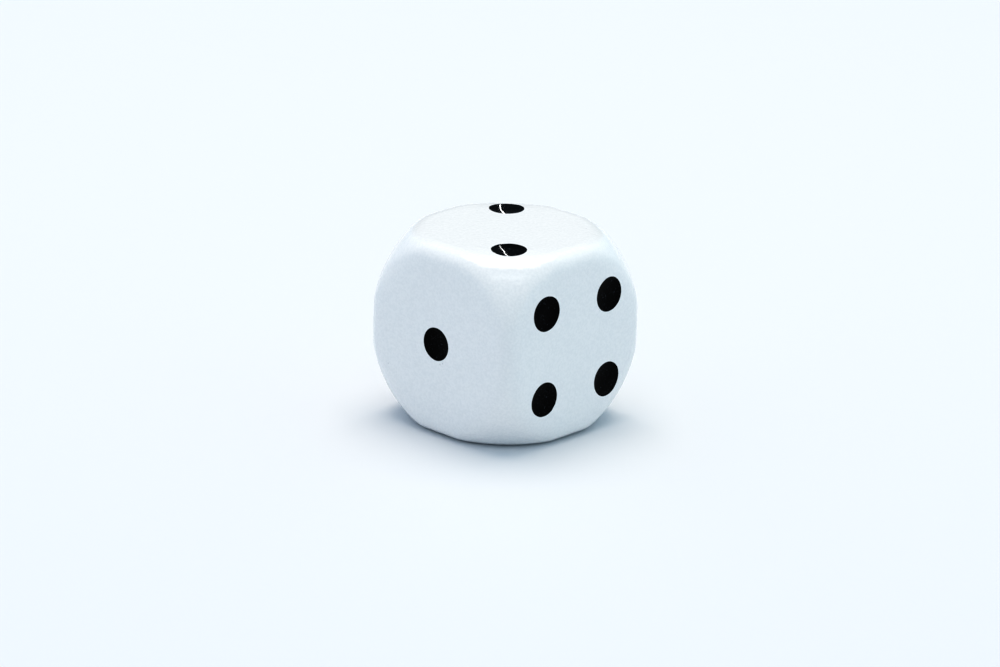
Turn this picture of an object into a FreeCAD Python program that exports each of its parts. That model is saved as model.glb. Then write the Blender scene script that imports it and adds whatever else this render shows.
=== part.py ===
"""A white table-top die with ball-rounded corners and black enamelled pips, in millimetres.

The die stands on its five. The origin is the middle of the face that it rests on and +Z
is up. The one looks to the front (-Y), the four to the right (+X) and the two upwards, and
opposite faces add up to seven.

The body is one solid moulding. Each pip is a shallow dish with a short straight wall, and
the enamel in it is a piece of its own, hollow on top, that sets a little below the face.
"""

import FreeCAD, Part
import os

from FreeCAD import Placement, Rotation, Vector

# Driving dimensions: alias, value and what it is.
SIZES = [
    ("edge_length", 16.0, "across two opposite faces"),
    ("edge_round", 1.49, "radius rolled all along the rim of each face"),
    ("face_margin", 0.12, "flat left outside the outermost pip"),
    ("pip_radius", 1.44, "mouth of each dish"),
    ("pip_offset", 3.63, "from the middle of a face to a row of pips, on the four, five and six"),
    ("diagonal_offset", 3.68, "the same on the two and the three"),
    ("recess_wall", 0.06, "straight wall at the mouth of each dish"),
    ("recess_depth", 0.32, "from the face to the bottom of each dish"),
    ("paint_gap", 0.02, "from the face down to where the enamel meets the wall"),
    ("paint_thickness", 0.21, "enamel at the middle of a pip"),
    ("tool_rise", 1.0, "how far the tool that cuts a dish stands above the face"),
]

# Outward direction of each face, the two directions that its pips are set out along, the
# size that they are set out by, and the pips, in steps of that size.
CORNERS = [(-1, -1), (-1, 1), (1, -1), (1, 1)]
X, Y, Z = Vector(1, 0, 0), Vector(0, 1, 0), Vector(0, 0, 1)
FACES = {
    "one": (-Y, X, Z, "pip_offset", [(0, 0)]),
    "two": (Z, X, Y, "diagonal_offset", [(1, -1), (-1, 1)]),
    "three": (-X, Y, Z, "diagonal_offset", [(-1, 1), (0, 0), (1, -1)]),
    "four": (X, Y, Z, "pip_offset", CORNERS),
    "five": (-Z, X, Y, "pip_offset", CORNERS + [(0, 0)]),
    "six": (Y, X, Z, "pip_offset", CORNERS + [(-1, 0), (1, 0)]),
}
# What the low and the high end of each direction are called.
ENDS = [(X, "left", "right"), (Y, "front", "back"), (Z, "low", "high")]

# Derived sizes, as expressions over the sheet.
HALF = "(Sheet.edge_length / 2)"
FLAT_RADIUS = (
    "(sqrt(2) * max(Sheet.pip_offset; Sheet.diagonal_offset)"
    " + Sheet.pip_radius + Sheet.face_margin)"
)
CORE_HALF = f"({HALF} - Sheet.edge_round)"
CORE_BALL = f"sqrt({FLAT_RADIUS} ^ 2 + {CORE_HALF} ^ 2)"
DISH_RISE = "(Sheet.recess_depth - Sheet.recess_wall)"
PAINT_RISE = "(Sheet.recess_depth - Sheet.paint_thickness - Sheet.paint_gap)"

doc = FreeCAD.newDocument("Die")


def add_sheet():
    """The spreadsheet that every size is read from."""
    sheet = doc.addObject("Spreadsheet::Sheet", "Sheet")
    for row, (alias, value, meaning) in enumerate(SIZES, start=1):
        sheet.set(f"A{row}", meaning)
        sheet.set(f"B{row}", str(value))
        sheet.setAlias(f"B{row}", alias)
    doc.recompute()


def add(kind, name, **expressions):
    """An object whose properties follow expressions; at_x, at_y and at_z place it."""
    made = doc.addObject(kind, name)
    for key, expression in expressions.items():
        path = f"Placement.Base.{key[-1]}" if key.startswith("at_") else key
        made.setExpression(path, expression)
    return made


def boolean(kind, name, base, tool):
    """A cut or a common of two objects."""
    made = doc.addObject(kind, name)
    made.Base, made.Tool = base, tool
    return made


def cap_radius(rise):
    """Radius of the ball whose cap spans a pip and rises by that much."""
    return f"((Sheet.pip_radius ^ 2 + {rise} ^ 2) / (2 * {rise}))"


def make_blank():
    """The die before its pips: a cube with its corners turned to a ball and every rim rolled.

    It is grown by the rolled radius from a core, the smaller cube within a smaller ball, so
    that the rounds of two faces run into each other half way along each edge.
    """
    side = f"2 * {CORE_HALF}"
    cube = add(
        "Part::Box", "core_cube", Length=side, Width=side, Height=side,
        at_x=f"-{CORE_HALF}", at_y=f"-{CORE_HALF}", at_z="Sheet.edge_round",
    )
    ball = add("Part::Sphere", "core_ball", Radius=CORE_BALL, at_z=HALF)
    blank = add("Part::Offset", "blank", Value="Sheet.edge_round")
    blank.Source = boolean("Part::Common", "core", cube, ball)
    blank.Join = "Arc"
    return blank


def make_tools():
    """The drill and the ball that shape one dish, and the ball that hollows its enamel.

    They stand on a face at Z = 0, which the enamel and the dish lie below.
    """
    drill = add(
        "Part::Cylinder", "drill", Radius="Sheet.pip_radius",
        Height="Sheet.recess_depth + Sheet.tool_rise", at_z="-Sheet.recess_depth",
    )
    dish_radius, paint_radius = cap_radius(DISH_RISE), cap_radius(PAINT_RISE)
    dish_ball = add(
        "Part::Sphere", "dish_ball", Radius=dish_radius,
        at_z=f"{dish_radius} - Sheet.recess_depth",
    )
    paint_ball = add(
        "Part::Sphere", "paint_ball", Radius=paint_radius,
        at_z=f"{paint_radius} - {PAINT_RISE} - Sheet.paint_gap",
    )
    return drill, dish_ball, paint_ball


def pip_name(number, across, up, u, v):
    """Such as pip_four_front_high, from where the pip is on its face."""
    words = ["pip", number]
    for direction, step in ((across, u), (up, v)):
        low, high = next(names for axis, *names in ENDS if axis == direction)
        words += [low if step < 0 else high] if step else []
    if len(words) == 2:
        words.append("centre")
    elif len(words) == 3:
        words.append("middle")
    return "_".join(words)


def put_on_face(made, normal, across, up, offset, u, v):
    """Turns a pip's piece to its face and binds its place to the sheet."""
    made.Placement = Placement(Vector(), Rotation(Z, normal))
    for axis, lift in (("x", 0), ("y", 0), ("z", 1)):
        out = getattr(normal, axis) + lift
        along = u * getattr(across, axis) + v * getattr(up, axis)
        made.setExpression(
            f"Placement.Base.{axis}", f"{out} * {HALF} + {along} * Sheet.{offset}"
        )


def make_pips(drill, dish_ball, paint_ball):
    """The tool that cuts each dish and the enamel that fills it."""
    dishes, paints = [], []
    fill = boolean("Part::Common", "fill", drill, dish_ball)
    for number, (normal, across, up, offset, steps) in FACES.items():
        for u, v in steps:
            name = pip_name(number, across, up, u, v)
            dishes.append(boolean("Part::Common", "dish_of_" + name, drill, dish_ball))
            paints.append(boolean("Part::Cut", name, fill, paint_ball))
            for made in (dishes[-1], paints[-1]):
                put_on_face(made, normal, across, up, offset, u, v)
    return dishes, paints


def make_body(blank, dishes):
    """The moulding: the blank with every dish cut into it."""
    cuts = doc.addObject("Part::MultiFuse", "dishes")
    cuts.Shapes = dishes
    return boolean("Part::Cut", "die_body", blank, cuts)


def check(sub_parts):
    """Stops on an object that failed, or on a sub-part that isn't one sound solid."""
    for made in doc.Objects:
        if {"Invalid", "Error"} & set(made.State):
            raise RuntimeError(f"{made.Label} failed: {made.State}")
    for made in sub_parts:
        shape = made.Shape
        if shape.isNull() or not shape.isValid() or len(shape.Solids) != 1:
            raise RuntimeError(f"{made.Label} isn't one valid solid")


def main():
    add_sheet()
    blank = make_blank()
    dishes, paints = make_pips(*make_tools())
    sub_parts = [make_body(blank, dishes)] + paints
    doc.recompute()
    check(sub_parts)
    os.makedirs("parts", exist_ok=True)
    for made in sub_parts:
        made.Shape.exportStep(f"parts/{made.Label}.step")
        print(f"{made.Label}: {made.Shape.Volume:.4f} mm3")


main()
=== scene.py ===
"""Looks of a white moulded die with black enamelled pips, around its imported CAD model."""

import math

import bmesh
import bpy
from mathutils import Matrix, Vector, kdtree, noise


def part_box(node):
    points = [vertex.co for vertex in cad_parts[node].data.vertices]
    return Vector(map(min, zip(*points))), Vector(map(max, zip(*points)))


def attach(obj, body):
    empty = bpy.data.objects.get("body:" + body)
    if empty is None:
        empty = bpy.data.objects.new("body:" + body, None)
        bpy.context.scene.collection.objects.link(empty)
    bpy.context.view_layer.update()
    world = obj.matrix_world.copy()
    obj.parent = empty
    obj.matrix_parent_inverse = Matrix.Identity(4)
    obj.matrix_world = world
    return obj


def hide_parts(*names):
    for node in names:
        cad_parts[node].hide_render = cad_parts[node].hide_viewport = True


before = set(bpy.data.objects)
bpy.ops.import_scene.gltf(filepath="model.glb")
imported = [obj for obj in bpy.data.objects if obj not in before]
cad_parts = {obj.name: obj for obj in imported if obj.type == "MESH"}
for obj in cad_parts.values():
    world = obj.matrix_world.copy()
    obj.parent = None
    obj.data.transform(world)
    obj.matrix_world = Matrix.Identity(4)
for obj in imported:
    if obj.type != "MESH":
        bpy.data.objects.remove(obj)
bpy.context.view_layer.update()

# Shapes are worked out in millimetres about the middle of the die, and put in metres at the end.
MM = 0.001
BODY_LOW, BODY_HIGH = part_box("die_body")
MIDDLE = (BODY_LOW + BODY_HIGH) / 2
HALF = (BODY_HIGH - BODY_LOW).x / 2 / MM

# The moulding: the radius rolled round each face, the radius of each face's flat, how many cells
# the cube that it starts from has along an edge, and how often its rolled edges are smoothed.
EDGE_ROUND = 1.49
FLAT_RADIUS = 6.764
CORE_HALF = HALF - EDGE_ROUND
CORE_BALL = math.hypot(FLAT_RADIUS, CORE_HALF)
CELLS = 88
CELL = 2 * HALF / CELLS
TUMBLING = 13

# How far the skin droops between a face's flat and a corner of the die, and the distances from
# the face's middle that the droop grows and fades over, and from the die's that it sets in at.
WEAR = 0.12
WEAR_RISE = (5.4, 7.3)
WEAR_FALL = (7.3, 8.4)
WEAR_DEPTH = (6.9, 7.5)

# A pip's dish: its mouth, how far the square patch that is cut out for it reaches, and the
# rings from the patch down to the middle of the dish.
PIP_RADIUS = 1.44
PATCH_REACH = 1.636
PATCH_RINGS = 5
MOUTH_ROUND = 0.022
MOUTH_STEPS = 3
MOUTH_LOOP = 0.02
RECESS_WALL = 0.06
RECESS_DEPTH = 0.32
DISH_RINGS = 9

# The enamel: how far below the face its middle lies, and how far it stands up its rim and
# over it. It fills each dish a little unevenly.
ENAMEL_MIDDLE = 0.11
ENAMEL_RIM = 0.018
ENAMEL_EDGE = 0.004
ENAMEL_SHOULDER = 1.4 * ENAMEL_EDGE
ENAMEL_LAP = 0.013
ENAMEL_TURNS = 96
ENAMEL_RINGS = 16
RIM_STARTS = 0.97 * PIP_RADIUS
RIM_SWAY = 0.022
RIM_LIFT = 0.004
# How fast the noise for that runs round a rim, and from one pip to another.
LONG_WAVES, SHORT_WAVES, LIFT_WAVES, PIP_APART = 2.6, 9, 3.1, 3.7
# One pip has a nick in its rim: the direction it lies in, and its depth and half-width.
NICKED = "pip_four_front_low"
NICK_SIDE = Vector((0, 0.78, -0.62))
NICK_DEPTH = 0.055
NICK_SPREAD = math.radians(9)
# One pip's top is warped into a saddle, raised between this direction and the one across it:
# by how much for each square millimetre, and the highest that it may reach.
SADDLED = "pip_two_right_front"
SADDLE_AHEAD = Vector((-0.6877, 0.7260, 0))
SADDLE = 0.018
SADDLE_TOP = -1.5 * ENAMEL_EDGE
# Some pips are a little narrower or wider than the rest, by this factor.
SHARE = {
    "pip_one_centre": 0.957, "pip_four_front_high": 1.015, "pip_four_back_high": 1.01,
    "pip_four_back_low": 1.015,
}


def put_in_place(shape):
    """Puts a shape worked out about the middle of the die in metres, where the die stands."""
    bmesh.ops.scale(shape, vec=(MM, MM, MM), verts=shape.verts)
    bmesh.ops.translate(shape, vec=MIDDLE, verts=shape.verts)


def smooth_step(low, high, value):
    """0 below low and 1 above high, with a smooth rise between."""
    share = max(0.0, min(1.0, (value - low) / (high - low)))
    return share * share * (3 - 2 * share)


def wear(shape):
    """Lets the skin droop a little towards the die's corners, but not the face it stands on."""
    for corner in shape.verts:
        point = corner.co.copy()
        for axis in range(3):
            one, other = (point[i] for i in range(3) if i != axis)
            radius = math.hypot(one, other)
            near = smooth_step(*WEAR_DEPTH, abs(point[axis]))
            stands_on = axis == 2 and point.z < 0
            if near and radius > WEAR_RISE[0] and not stands_on:
                band = smooth_step(*WEAR_RISE, radius) * (1 - smooth_step(*WEAR_FALL, radius))
                slant = (2 * one * other / radius**2) ** 2
                corner.co[axis] -= math.copysign(WEAR * near * band * slant, point[axis])


def make_piece(name, shape, material):
    """An object for a finished shape, smooth all over and in one material."""
    wear(shape)
    put_in_place(shape)
    bmesh.ops.recalc_face_normals(shape, faces=shape.faces)
    for face in shape.faces:
        face.smooth = True
    mesh = bpy.data.meshes.new(name)
    shape.to_mesh(mesh)
    shape.free()
    mesh.materials.append(material)
    piece = bpy.data.objects.new(name, mesh)
    bpy.context.scene.collection.objects.link(piece)
    return piece


# ---- The moulding --------------------------------------------------------------------------


def nearest_on_core(point):
    """The nearest point of the die's core, a cube within a ball, to a point outside it."""
    on_ball = point * (CORE_BALL / point.length)
    if max(map(abs, on_ball)) <= CORE_HALF:
        return on_ball
    held = Vector([max(-CORE_HALF, min(CORE_HALF, c)) for c in point])
    if held.length <= CORE_BALL:
        return held
    order = sorted(range(3), key=lambda axis: -abs(point[axis]))
    for count in (1, 2):
        fixed, free = order[:count], order[count:]
        left = math.sqrt(CORE_BALL**2 - count * CORE_HALF**2)
        reach = math.hypot(*(point[axis] for axis in free))
        for axis in fixed:
            held[axis] = math.copysign(CORE_HALF, point[axis])
        for axis in free:
            held[axis] = point[axis] * left / reach
        if max(abs(held[axis]) for axis in free) <= CORE_HALF:
            break
    return held


def roll_over_core(shape):
    """Moves every corner of a cube on to the die's skin, a ball's radius off its core."""
    for corner in shape.verts:
        core = nearest_on_core(corner.co)
        corner.co = core + (corner.co - core).normalized() * EDGE_ROUND


class Pip:
    """One pip's place, read from its enamel in the CAD model."""

    def __init__(self, node):
        low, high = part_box(node)
        size, middle = high - low, ((low + high) / 2 - MIDDLE) / MM
        axis = min(range(3), key=lambda i: size[i])
        self.node = node
        self.share = SHARE.get(node, 1)
        self.out = Vector([math.copysign(1, middle[i]) if i == axis else 0 for i in range(3)])
        middle[axis] = HALF * self.out[axis]
        self.mouth = middle
        turn = self.out.to_track_quat("Z", "Y").to_matrix().to_4x4()
        self.turn = Matrix.Translation(middle) @ turn

    def ring_point(self, point, radius, height):
        """The point at a radius from the pip's axis and a height over its mouth, towards point."""
        along = point - self.mouth
        along -= self.out * along.dot(self.out)
        return self.mouth + along.normalized() * radius * self.share + self.out * height


def cut_patches(shape, nearest):
    """Takes a square patch out of the cube for every pip and returns the edges round the holes."""
    inside = set()
    for face in shape.faces:
        middle = face.calc_center_median()
        pip = nearest(middle)
        off = middle - pip.mouth
        if abs(off.dot(pip.out)) < CELL / 4 and max(map(abs, off)) < PATCH_REACH:
            inside.add(face)
    around = [
        edge for face in inside for edge in face.edges
        if any(other not in inside for other in edge.link_faces)
    ]
    bmesh.ops.delete(shape, geom=list(inside), context="FACES")
    return around


def next_ring(shape, edges):
    """Draws the edges around a hole out into one more ring of faces."""
    old = {corner for edge in edges for corner in edge.verts}
    drawn = bmesh.ops.extrude_edge_only(shape, edges=edges)["geom"]
    corners = [item for item in drawn if isinstance(item, bmesh.types.BMVert) and item not in old]
    fresh = set(corners)
    edges = [
        item for item in drawn
        if isinstance(item, bmesh.types.BMEdge) and all(end in fresh for end in item.verts)
    ]
    return corners, edges


def round_holes(shape, edges, nearest):
    """Brings the square holes in to round ones, a little wider than a pip's mouth."""
    radius = PIP_RADIUS + MOUTH_ROUND + MOUTH_LOOP
    for step in range(PATCH_RINGS):
        corners, edges = next_ring(shape, edges)
        share = 1 / (PATCH_RINGS - step)
        for corner in corners:
            target = nearest(corner.co).ring_point(corner.co, radius, 0)
            corner.co = corner.co.lerp(target, share)
    return edges


def dish_profile():
    """Radius and height of each ring of a dish, from the loop that holds its mouth inwards."""
    rows = [(PIP_RADIUS + MOUTH_ROUND, 0)]
    for step in range(1, MOUTH_STEPS + 1):
        turn = math.pi / 2 * step / MOUTH_STEPS
        rows.append((
            PIP_RADIUS + MOUTH_ROUND * (1 - math.sin(turn)), -MOUTH_ROUND * (1 - math.cos(turn)),
        ))
    rows.append((PIP_RADIUS, -RECESS_WALL))
    rise = RECESS_DEPTH - RECESS_WALL
    ball = (PIP_RADIUS**2 + rise**2) / (2 * rise)
    for step in range(1, DISH_RINGS):
        radius = PIP_RADIUS * (1 - step / DISH_RINGS)
        rows.append((radius, ball - RECESS_DEPTH - math.sqrt(ball**2 - radius**2)))
    return rows


def sink_dishes(shape, edges, nearest):
    """Draws the round holes down into closed dishes."""
    for radius, height in dish_profile():
        corners, edges = next_ring(shape, edges)
        for corner in corners:
            corner.co = nearest(corner.co).ring_point(corner.co, radius, height)
    corners, edges = next_ring(shape, edges)
    for corner in corners:
        pip = nearest(corner.co)
        corner.co = pip.mouth - pip.out * RECESS_DEPTH
    bmesh.ops.remove_doubles(shape, verts=corners, dist=1e-4)


def tumble(shape):
    """Softens the rolled edges as polishing in a drum does, the lowest only sideways."""
    worn = [corner for corner in shape.verts if max(map(abs, corner.co)) < HALF - 1e-4]
    lowest = [corner for corner in worn if corner.co.z < -CORE_HALF]
    others = [corner for corner in worn if corner.co.z >= -CORE_HALF]
    for _ in range(TUMBLING):
        for corners, upright in ((lowest, False), (others, True)):
            bmesh.ops.smooth_vert(
                shape, verts=corners, factor=0.5,
                use_axis_x=True, use_axis_y=True, use_axis_z=upright,
            )


def make_moulding(pips, material):
    """The white body, a cube rolled over its core with a dish sunk for every pip."""
    mouths = kdtree.KDTree(len(pips))
    for number, pip in enumerate(pips):
        mouths.insert(pip.mouth, number)
    mouths.balance()

    def nearest(point):
        return pips[mouths.find(point)[1]]

    shape = bmesh.new()
    bmesh.ops.create_cube(shape, size=2 * HALF)
    bmesh.ops.subdivide_edges(shape, edges=shape.edges, cuts=CELLS - 1, use_grid_fill=True)
    edges = round_holes(shape, cut_patches(shape, nearest), nearest)
    roll_over_core(shape)
    tumble(shape)
    sink_dishes(shape, edges, nearest)
    return make_piece("moulded_body", shape, material)


# ---- The enamel ----------------------------------------------------------------------------


def enamel_profile():
    """Half of the enamel's section, from its middle on top, out to the wall and back below."""
    rise = ENAMEL_MIDDLE - ENAMEL_RIM
    top = (PIP_RADIUS**2 + rise**2) / (2 * rise)
    deep = RECESS_DEPTH - RECESS_WALL
    dish = (PIP_RADIUS**2 + deep**2) / (2 * deep)
    rows = []
    for step in range(ENAMEL_RINGS):
        radius = PIP_RADIUS * step / ENAMEL_RINGS
        rows.append((radius, top - ENAMEL_MIDDLE - math.sqrt(top**2 - radius**2)))
    rows += [
        (PIP_RADIUS - 2 * ENAMEL_LAP, -ENAMEL_RIM),
        (PIP_RADIUS + ENAMEL_LAP / 2, -ENAMEL_SHOULDER),
        (PIP_RADIUS + ENAMEL_LAP, -ENAMEL_EDGE),
        (PIP_RADIUS + ENAMEL_LAP, -ENAMEL_RIM),
        (PIP_RADIUS, -RECESS_WALL),
    ]
    for step in range(ENAMEL_RINGS - 2, -1, -2):
        radius = PIP_RADIUS * step / ENAMEL_RINGS
        rows.append((radius, dish - RECESS_DEPTH - math.sqrt(dish**2 - radius**2)))
    return rows


def twist(shape, pip):
    """Warps the top of a pip's enamel into a slight saddle."""
    right = SADDLE_AHEAD.cross(pip.out)
    for corner in shape.verts:
        off = corner.co - pip.mouth
        height = off.dot(pip.out)
        along = off - pip.out * height
        if height > -ENAMEL_MIDDLE - 1e-4 and along.length < PIP_RADIUS - ENAMEL_LAP:
            lift = SADDLE * SADDLE_AHEAD.dot(off) * right.dot(off)
            corner.co += pip.out * min(lift, SADDLE_TOP - height)


def fill_unevenly(shape, pip):
    """Sways the enamel's rim in and out and up and down, and nicks it on one pip."""
    start = pip.mouth * PIP_APART
    for corner in shape.verts:
        off = corner.co - pip.mouth
        height = off.dot(pip.out)
        along = off - pip.out * height
        if along.length < RIM_STARTS or height < -RECESS_WALL / 2:
            continue
        side = along.normalized()
        sway = RIM_SWAY * noise.noise(start + side * LONG_WAVES)
        sway += RIM_SWAY / 2 * noise.noise(start + side * SHORT_WAVES)
        if pip.node == NICKED:
            sway -= NICK_DEPTH * math.exp(-(side.angle(NICK_SIDE) / NICK_SPREAD) ** 2)
        lift = RIM_LIFT * noise.noise(start - side * LIFT_WAVES)
        corner.co += side * sway + pip.out * min(lift, 0)


def make_enamel(pip, material):
    """The enamel of one pip: its section spun about the pip's axis, with a hand-filled rim."""
    shape = bmesh.new()
    ends = [shape.verts.new((radius, 0, height)) for radius, height in enamel_profile()]
    edges = [shape.edges.new(pair) for pair in zip(ends, ends[1:])]
    bmesh.ops.spin(
        shape, geom=ends + edges, axis=(0, 0, 1), cent=(0, 0, 0), angle=2 * math.pi,
        steps=ENAMEL_TURNS, use_merge=True,
    )
    bmesh.ops.remove_doubles(shape, verts=shape.verts, dist=1e-4)
    bmesh.ops.scale(shape, vec=(pip.share, pip.share, 1), verts=shape.verts)
    bmesh.ops.transform(shape, matrix=pip.turn, verts=shape.verts)
    if pip.node == SADDLED:
        twist(shape, pip)
    fill_unevenly(shape, pip)
    return make_piece(pip.node.replace("pip_", "enamel_"), shape, material)


# ---- Materials -----------------------------------------------------------------------------


PLASTIC_SHADE = (0.880, 0.888, 0.896, 1)
PLASTIC_LIGHT = (0.925, 0.929, 0.934, 1)
PIT_COLOUR = (0.55, 0.56, 0.58, 1)
ENAMEL_BLACK = (0.0006, 0.0006, 0.0008, 1)
ENAMEL_DUST = (0.034, 0.039, 0.046, 1)

# Sockets of a colour Mix node, whose names repeat.
MIX_SHARE, MIX_ONE, MIX_OTHER, MIX_RESULT = 0, 6, 7, 2


def new_material(name, **values):
    """A material whose main shader has these values on its own sockets."""
    material = bpy.data.materials.new(name)
    material.use_nodes = True
    shader = material.node_tree.nodes["Principled BSDF"]
    for socket, value in values.items():
        shader.inputs[socket.replace("_", " ")].default_value = value
    return material, material.node_tree, shader


def add_node(tree, kind, **values):
    """A node with these settings, or input values where a name is an input's."""
    node = tree.nodes.new(kind)
    for key, value in values.items():
        if hasattr(node, key):
            setattr(node, key, value)
        else:
            node.inputs[key.replace("_", " ")].default_value = value
    return node


def ramp(tree, source, start, stop, low=0.0, high=1.0, smooth=False):
    """Carries a value from start to stop over to low to high, held at both ends."""
    node = add_node(tree, "ShaderNodeMapRange")
    if smooth:
        node.interpolation_type = "SMOOTHSTEP"
    tree.links.new(source, node.inputs["Value"])
    for socket, value in (
        ("From Min", start), ("From Max", stop), ("To Min", low), ("To Max", high),
    ):
        if isinstance(value, (int, float)):
            node.inputs[socket].default_value = value
        else:
            tree.links.new(value, node.inputs[socket])
    return node.outputs["Result"]


def blend_colours(tree, share, one, other):
    """A colour between two, each a constant or another node's output."""
    node = add_node(tree, "ShaderNodeMix", data_type="RGBA")
    tree.links.new(share, node.inputs[MIX_SHARE])
    for socket, colour in ((MIX_ONE, one), (MIX_OTHER, other)):
        if isinstance(colour, tuple):
            node.inputs[socket].default_value = colour
        else:
            tree.links.new(colour, node.inputs[socket])
    return node.outputs[MIX_RESULT]


def white_plastic():
    """Glossy white moulding: faint orange peel, ripple, grain and a few tiny pits."""
    material, tree, shader = new_material(
        "white_moulded_plastic", Specular_IOR_Level=0.5,
    )
    place = add_node(tree, "ShaderNodeTexCoord").outputs["Object"]
    peel = add_node(tree, "ShaderNodeTexNoise", Scale=900.0, Detail=1.5)
    ripple = add_node(tree, "ShaderNodeTexNoise", Scale=3000.0, Detail=0.5)
    grain = add_node(tree, "ShaderNodeTexNoise", Scale=5200.0, Detail=2.0)
    spots = add_node(tree, "ShaderNodeTexVoronoi", Scale=780.0, Randomness=1.0)
    kept = add_node(tree, "ShaderNodeTexNoise", Scale=410.0, Detail=0.0)
    for texture in (peel, ripple, grain, spots, kept):
        tree.links.new(place, texture.inputs["Vector"])
    # A pit is the middle of a cell, and only where the broad noise is high.
    size = ramp(tree, kept.outputs["Fac"], 0.52, 0.72, 0.0, 0.075)
    pit = ramp(tree, spots.outputs["Distance"], 0.0, size, 1.0, 0.0, smooth=True)
    mottle = ramp(tree, grain.outputs["Fac"], 0.38, 0.62)
    clean = blend_colours(tree, mottle, PLASTIC_SHADE, PLASTIC_LIGHT)
    tree.links.new(blend_colours(tree, pit, clean, PIT_COLOUR), shader.inputs["Base Color"])
    # Relief, in steps from broad to fine.
    normal = None
    for height, strength, depth in (
        (peel.outputs["Fac"], 0.5, 0.020), (ripple.outputs["Fac"], 1.0, 0.013),
        (grain.outputs["Fac"], 1.0, 0.0012), (pit, 0.6, -0.006),
    ):
        bump = add_node(tree, "ShaderNodeBump", Strength=strength, Distance=abs(depth) * MM)
        bump.invert = depth < 0
        tree.links.new(height, bump.inputs["Height"])
        if normal:
            tree.links.new(normal, bump.inputs["Normal"])
        normal = bump.outputs["Normal"]
    tree.links.new(normal, shader.inputs["Normal"])
    gloss = ramp(tree, grain.outputs["Fac"], 0.0, 1.0, 0.06, 0.18)
    tree.links.new(gloss, shader.inputs["Roughness"])
    return material


def black_enamel():
    """Glossy black enamel that levelled by itself, with faint ripples and dust under its skin."""
    material, tree, shader = new_material(
        "black_enamel", Roughness=0.045, Specular_IOR_Level=0.05,
    )
    place = add_node(tree, "ShaderNodeTexCoord").outputs["Object"]
    flow = add_node(tree, "ShaderNodeTexNoise", Scale=900.0, Detail=1.0)
    dust = add_node(tree, "ShaderNodeTexNoise", Scale=6500.0, Detail=3.0)
    for texture in (flow, dust):
        tree.links.new(place, texture.inputs["Vector"])
    speck = ramp(tree, dust.outputs["Fac"], 0.60, 0.76, smooth=True)
    tree.links.new(
        blend_colours(tree, speck, ENAMEL_BLACK, ENAMEL_DUST), shader.inputs["Base Color"],
    )
    bump = add_node(tree, "ShaderNodeBump", Strength=0.2, Distance=0.0012 * MM)
    tree.links.new(flow.outputs["Fac"], bump.inputs["Height"])
    tree.links.new(bump.outputs["Normal"], shader.inputs["Normal"])
    return material


# ---- Studio --------------------------------------------------------------------------------

# The room is a pale surrounding, a little greener to the right, with a dark cloth in it behind the
# die and some gloom round the camera. Past the floor the camera sees a plain wall.
ROOM_LEFT = (0.69, 0.83, 0.98, 1)
ROOM_RIGHT = (0.69, 0.905, 1.02, 1)
ROOM_LIGHT = 0.605
# The cosine from straight across at which the room is all of one colour, on either side.
ROOM_TURN = 0.7
# How high the middle of the cloth and of the gloom is, where each starts to fade and is gone, in
# degrees, and how bright it is there.
CLOTH_ELEVATION, CLOTH_EDGE, CLOTH_FADE, CLOTH_LIGHT = 19, 14, 26, 0.14
GLOOM_ELEVATION, GLOOM_EDGE, GLOOM_FADE, GLOOM_LIGHT = 10, 20, 60, 0.325
WALL_COLOUR = (0.76, 0.89, 1.0, 1)
WALL_LIGHT = 0.50
FLOOR_COLOUR = (0.775, 0.79, 0.815, 1)
FLOOR_REACH = 2.0
# Lights: azimuth from the camera's side, to its right, and elevation in degrees; size in
# millimetres. The strip runs between two such directions.
LIGHT_DISTANCE = 600
BROAD_FROM, BROAD_SIZE, BROAD_WATTS = (180, 81), (450, 450), 1.83
BROAD_COLOUR = (1.0, 0.855, 0.72)
FRONT_FROM, FRONT_SIZE, FRONT_WATTS = (0, 58.5), (300, 72), 0.10
FRONT_COLOUR = (1, 0.95, 0.90)
STRIP_LOW, STRIP_HIGH = (179.75, 5.5), (177.1, 32.0)
STRIP_WIDTH, STRIP_WATTS = 1.25, 0.037
STRIP_COLOUR = (1, 1, 1)

# Where the camera stands round the die, how it is tilted, and where it looks.
CAMERA_YAW = math.radians(43.45)
CAMERA_PITCH = math.radians(19.51)
CAMERA_ROLL = math.radians(1.57)
CAMERA_DISTANCE = 473.6
CAMERA_LENS = 210.3
# How far right of and above the middle of the die the middle of the view is.
AIM_RIGHT, AIM_UP = -0.425, -0.935


def add_camera():
    """The camera, looking down at the die's nearest upright edge."""
    back = Vector((
        math.sin(CAMERA_YAW) * math.cos(CAMERA_PITCH),
        -math.cos(CAMERA_YAW) * math.cos(CAMERA_PITCH), math.sin(CAMERA_PITCH),
    ))
    right = Vector((math.cos(CAMERA_YAW), math.sin(CAMERA_YAW), 0))
    right.rotate(Matrix.Rotation(CAMERA_ROLL, 3, back))
    up = back.cross(right)
    eye = back * CAMERA_DISTANCE
    view = (right * AIM_RIGHT + up * AIM_UP - eye).normalized()
    side = view.cross(up).normalized()
    axes = Matrix((side, side.cross(view), -view)).transposed().to_4x4()
    camera = bpy.data.objects.new("camera", bpy.data.cameras.new("camera"))
    camera.data.lens = CAMERA_LENS
    camera.data.sensor_width = 36
    camera.data.clip_start = 0.01
    camera.matrix_world = Matrix.Translation(MIDDLE + eye * MM) @ axes
    bpy.context.scene.collection.objects.link(camera)
    bpy.context.scene.camera = camera


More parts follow.
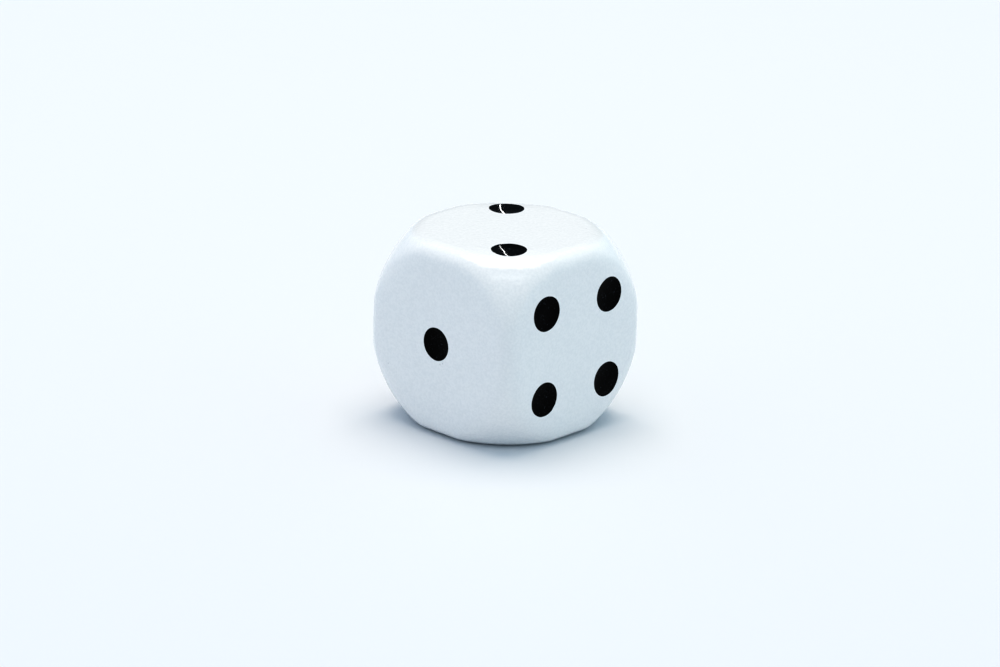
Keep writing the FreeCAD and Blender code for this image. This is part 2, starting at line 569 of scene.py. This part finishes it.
def add_light(name, direction, size, watts, colour):
    """A rectangular light that faces the die from a direction."""
    light = bpy.data.lights.new(name, "AREA")
    light.shape = "RECTANGLE"
    light.size, light.size_y = size[0] * MM, size[1] * MM
    light.energy, light.color = watts, colour
    away = away_from(*direction)
    turn = away.to_track_quat("Z", "Y").to_matrix().to_4x4()
    lamp = bpy.data.objects.new(name, light)
    lamp.matrix_world = Matrix.Translation(MIDDLE + away * LIGHT_DISTANCE * MM) @ turn
    lamp.visible_camera = False
    bpy.context.scene.collection.objects.link(lamp)
    return lamp


def add_floor():
    """A plain pale floor."""
    shape = bmesh.new()
    bmesh.ops.create_grid(shape, x_segments=1, y_segments=1, size=FLOOR_REACH)
    material, _, _ = new_material(
        "pale_floor", Base_Color=FLOOR_COLOUR, Roughness=0.9, Specular_IOR_Level=0.0,
    )
    mesh = bpy.data.meshes.new("floor")
    shape.to_mesh(mesh)
    shape.free()
    mesh.materials.append(material)
    floor = bpy.data.objects.new("floor", mesh)
    bpy.context.scene.collection.objects.link(floor)


def away_from(azimuth, elevation):
    """A direction out from the die; azimuth is from the camera's side, to its right."""
    turn, rise = CAMERA_YAW + math.radians(azimuth), math.radians(elevation)
    return Vector((
        math.sin(turn) * math.cos(rise), -math.cos(turn) * math.cos(rise), math.sin(rise),
    ))


def towards(tree, place, azimuth, elevation):
    """The cosine of the angle between the direction looked in and one out from the die."""
    dot = add_node(tree, "ShaderNodeVectorMath", operation="DOT_PRODUCT")
    dot.inputs[1].default_value = away_from(azimuth, elevation)
    tree.links.new(place, dot.inputs[0])
    return dot.outputs["Value"]


def pale_surroundings():
    """Soft bluish light from all round, less from behind the die and from round the camera."""
    world = bpy.data.worlds.new("studio")
    bpy.context.scene.world = world
    world.use_nodes = True
    tree = world.node_tree
    room = tree.nodes["Background"]
    place = add_node(tree, "ShaderNodeTexCoord").outputs["Generated"]
    rightwards = ramp(tree, towards(tree, place, 90, 0), -ROOM_TURN, ROOM_TURN)
    cloth = ramp(
        tree, towards(tree, place, 180, CLOTH_ELEVATION), math.cos(math.radians(CLOTH_FADE)),
        math.cos(math.radians(CLOTH_EDGE)), 1.0, CLOTH_LIGHT / ROOM_LIGHT, smooth=True,
    )
    gloom = ramp(
        tree, towards(tree, place, 0, GLOOM_ELEVATION), math.cos(math.radians(GLOOM_FADE)),
        math.cos(math.radians(GLOOM_EDGE)), ROOM_LIGHT, GLOOM_LIGHT, smooth=True,
    )
    strength = add_node(tree, "ShaderNodeMath", operation="MULTIPLY")
    tree.links.new(cloth, strength.inputs[0])
    tree.links.new(gloom, strength.inputs[1])
    tree.links.new(strength.outputs["Value"], room.inputs["Strength"])
    tree.links.new(
        blend_colours(tree, rightwards, ROOM_LEFT, ROOM_RIGHT), room.inputs["Color"],
    )
    wall = add_node(tree, "ShaderNodeBackground", Color=WALL_COLOUR, Strength=WALL_LIGHT)
    seen = add_node(tree, "ShaderNodeLightPath").outputs["Is Camera Ray"]
    mixed = add_node(tree, "ShaderNodeMixShader")
    for source, socket in ((seen, 0), (room.outputs[0], 1), (wall.outputs[0], 2)):
        tree.links.new(source, mixed.inputs[socket])
    tree.links.new(mixed.outputs[0], tree.nodes["World Output"].inputs["Surface"])


def light_studio(enamelled):
    """A broad light above the die, a low one before it, and a thin one for the enamel alone."""
    pale_surroundings()
    add_light("broad", BROAD_FROM, BROAD_SIZE, BROAD_WATTS, BROAD_COLOUR)
    add_light("front", FRONT_FROM, FRONT_SIZE, FRONT_WATTS, FRONT_COLOUR)
    low, high = (away_from(*end) * LIGHT_DISTANCE * MM for end in (STRIP_LOW, STRIP_HIGH))
    length = (high - low).length / MM
    strip = add_light("strip", STRIP_LOW, (STRIP_WIDTH, length), STRIP_WATTS, STRIP_COLOUR)
    # The strip slants, so it is turned about its own length to face the die.
    middle, along = (low + high) / 2, (high - low).normalized()
    back = (middle - along * middle.dot(along)).normalized()
    axes = Matrix((along.cross(back), along, back)).transposed().to_4x4()
    strip.matrix_world = Matrix.Translation(MIDDLE + middle) @ axes
    shone_on = bpy.data.collections.new("shone_on_by_strip")
    for piece in enamelled:
        shone_on.objects.link(piece)
    strip.light_linking.receiver_collection = shone_on
    # How the picture is toned.
    view = bpy.context.scene.view_settings
    view.view_transform = "Standard"
    view.look = "High Contrast"


def main():
    plastic, enamel = white_plastic(), black_enamel()
    pips = [Pip(node) for node in sorted(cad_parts) if node.startswith("pip_")]
    body = make_moulding(pips, plastic)
    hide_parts("die_body")
    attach(body, "root")
    enamelled = []
    for pip in pips:
        piece = make_enamel(pip, enamel)
        enamelled.append(piece)
        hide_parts(pip.node)
        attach(piece, "root")
    add_floor()
    light_studio(enamelled)
    add_camera()


main()
